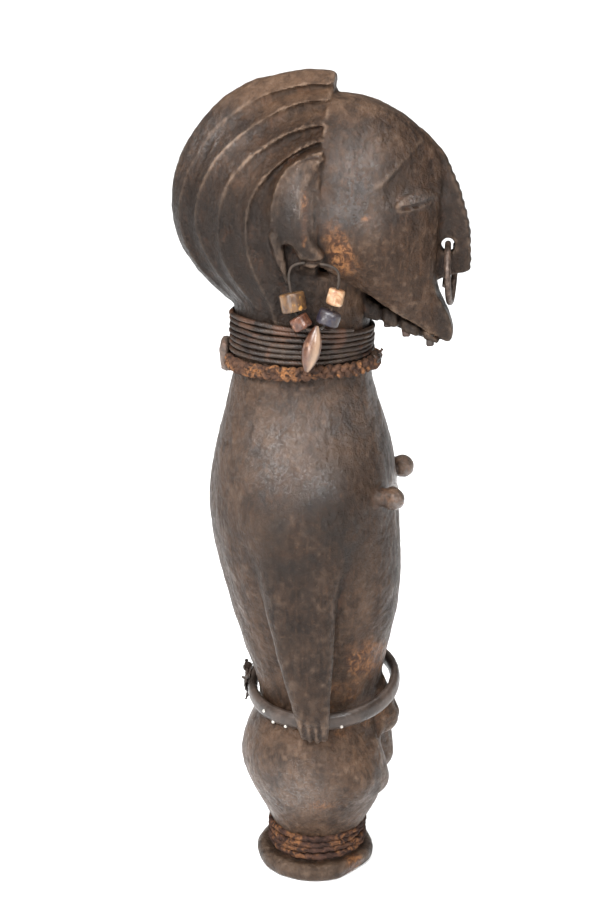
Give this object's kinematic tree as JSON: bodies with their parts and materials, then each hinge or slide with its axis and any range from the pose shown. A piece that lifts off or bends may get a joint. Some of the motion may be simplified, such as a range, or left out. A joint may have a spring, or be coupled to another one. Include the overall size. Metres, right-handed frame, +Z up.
{
  "type": "carved fertility figure",
  "caption": "Carved wooden female figure with a ridged crest of hair, a nose ring, cord-bound neck and ankle, a waist hoop and bead loops in the ears.",
  "frame": {"origin": "centre of the round foot's underside", "axes": "+X the way the face looks, +Y the figure's left, +Z up"},
  "size_m": [0.1123, 0.083, 0.3201],
  "materials": {
    "carved_wood": "dark patinated carved hardwood, worn glossy",
    "peg_wood": "dark wooden pegs",
    "iron_wire": "rust-brown iron wire",
    "dark_cord": "thin dark twisted cord, greasy",
    "clay_braid": "plaited fibre with clay crust",
    "leather_tie": "dark leather strip",
    "hide_hoop": "dark grey stiff hide",
    "white_tack": "small bright tacks",
    "ankle_fibre": "reddish brown twisted strip, encrusted",
    "ear_string": "dark plant fibre string",
    "white_glass": "off-white bead, stained",
    "blue_glass": "dark blue bead, worn",
    "red_stone": "red-brown bead",
    "amber_stone": "yellow-brown bead",
    "shell": "polished brown shell"
  },
  "bodies": {
    "figure": {"carved_figure": "carved_wood", "jaw_pegs": "peg_wood", "neck_cord": "dark_cord", "neck_braid": "clay_braid", "nape_tie": "leather_tie", "throat_knot": "dark_cord", "ankle_binding": "ankle_fibre", "ankle_tie": "ankle_fibre"},
    "nose_ring": {"nose_ring": "iron_wire"},
    "waist_hoop": {"waist_hoop": "hide_hoop", "hoop_lashing": "hide_hoop", "hoop_tacks": "white_tack"},
    "right_ear_loop": {"right_ear_string": "ear_string"},
    "right_white_bead": {"right_white_bead": "white_glass"},
    "right_blue_bead": {"right_blue_bead": "blue_glass"},
    "right_red_bead": {"right_red_bead": "red_stone"},
    "right_amber_bead": {"right_amber_bead": "amber_stone"},
    "right_shell": {"right_shell_pendant": "shell"},
    "left_ear_loop": {"left_ear_string": "ear_string"},
    "left_white_bead": {"left_white_bead": "white_glass"},
    "left_blue_bead": {"left_blue_bead": "blue_glass"},
    "left_red_bead": {"left_red_bead": "red_stone"},
    "left_amber_bead": {"left_amber_bead": "amber_stone"},
    "left_shell": {"left_shell_pendant": "shell"}
  },
  "joints": [
    {"name": "nose_ring_swing", "type": "hinge", "parent": "figure", "child": "nose_ring", "pos_m": [0.0486, 0, 0.2576], "axis": [0, -1, 0], "range_deg": [0, 115]},
    {"name": "waist_hoop_turn", "type": "hinge", "parent": "figure", "child": "waist_hoop", "pos_m": [0.0033, 0, 0.0793], "axis": [-0.061, -0.1733, 0.983], "range_deg": [-35, 25]},
    {"name": "right_ear_loop_swing", "type": "hinge", "parent": "figure", "child": "right_ear_loop", "pos_m": [0.0015, -0.0295, 0.255], "axis": [-1, 0, 0], "range_deg": [0, 70]},
    {"name": "right_white_bead_spin", "type": "hinge", "parent": "right_ear_loop", "child": "right_white_bead", "pos_m": [0.01081, -0.031, 0.24347], "axis": [-0.2454, -0.125, -0.9613], "continuous": true},
    {"name": "right_blue_bead_spin", "type": "hinge", "parent": "right_ear_loop", "child": "right_blue_bead", "pos_m": [0.0086, -0.03196, 0.2361], "axis": [-0.3213, -0.1221, -0.9391], "continuous": true},
    {"name": "right_red_bead_spin", "type": "hinge", "parent": "right_ear_loop", "child": "right_red_bead", "pos_m": [-0.00145, -0.03222, 0.2341], "axis": [-0.5362, 0.1088, 0.837], "continuous": true},
    {"name": "right_amber_bead_spin", "type": "hinge", "parent": "right_ear_loop", "child": "right_amber_bead", "pos_m": [-0.0044, -0.03129, 0.24125], "axis": [-0.2204, 0.1257, 0.9673], "continuous": true},
    {"name": "right_shell_swing", "type": "hinge", "parent": "right_ear_loop", "child": "right_shell", "pos_m": [0.00395, -0.03254, 0.2316], "axis": [-0.9785, -0.0266, -0.2045], "range_deg": [-10, 45]},
    {"name": "left_ear_loop_swing", "type": "hinge", "parent": "figure", "child": "left_ear_loop", "pos_m": [0.0015, 0.0295, 0.255], "axis": [1, 0, 0], "range_deg": [0, 70]},
    {"name": "left_white_bead_spin", "type": "hinge", "parent": "left_ear_loop", "child": "left_white_bead", "pos_m": [0.01081, 0.031, 0.24347], "axis": [-0.2454, 0.125, -0.9613], "continuous": true},
    {"name": "left_blue_bead_spin", "type": "hinge", "parent": "left_ear_loop", "child": "left_blue_bead", "pos_m": [0.0086, 0.03196, 0.2361], "axis": [-0.3213, 0.1221, -0.9391], "continuous": true},
    {"name": "left_red_bead_spin", "type": "hinge", "parent": "left_ear_loop", "child": "left_red_bead", "pos_m": [-0.00145, 0.03222, 0.2341], "axis": [-0.5362, -0.1088, 0.837], "continuous": true},
    {"name": "left_amber_bead_spin", "type": "hinge", "parent": "left_ear_loop", "child": "left_amber_bead", "pos_m": [-0.0044, 0.03129, 0.24125], "axis": [-0.2204, -0.1257, 0.9673], "continuous": true},
    {"name": "left_shell_swing", "type": "hinge", "parent": "left_ear_loop", "child": "left_shell", "pos_m": [0.00395, 0.03254, 0.2316], "axis": [-0.9785, 0.0266, -0.2045], "range_deg": [-45, 10]}
  ]
}
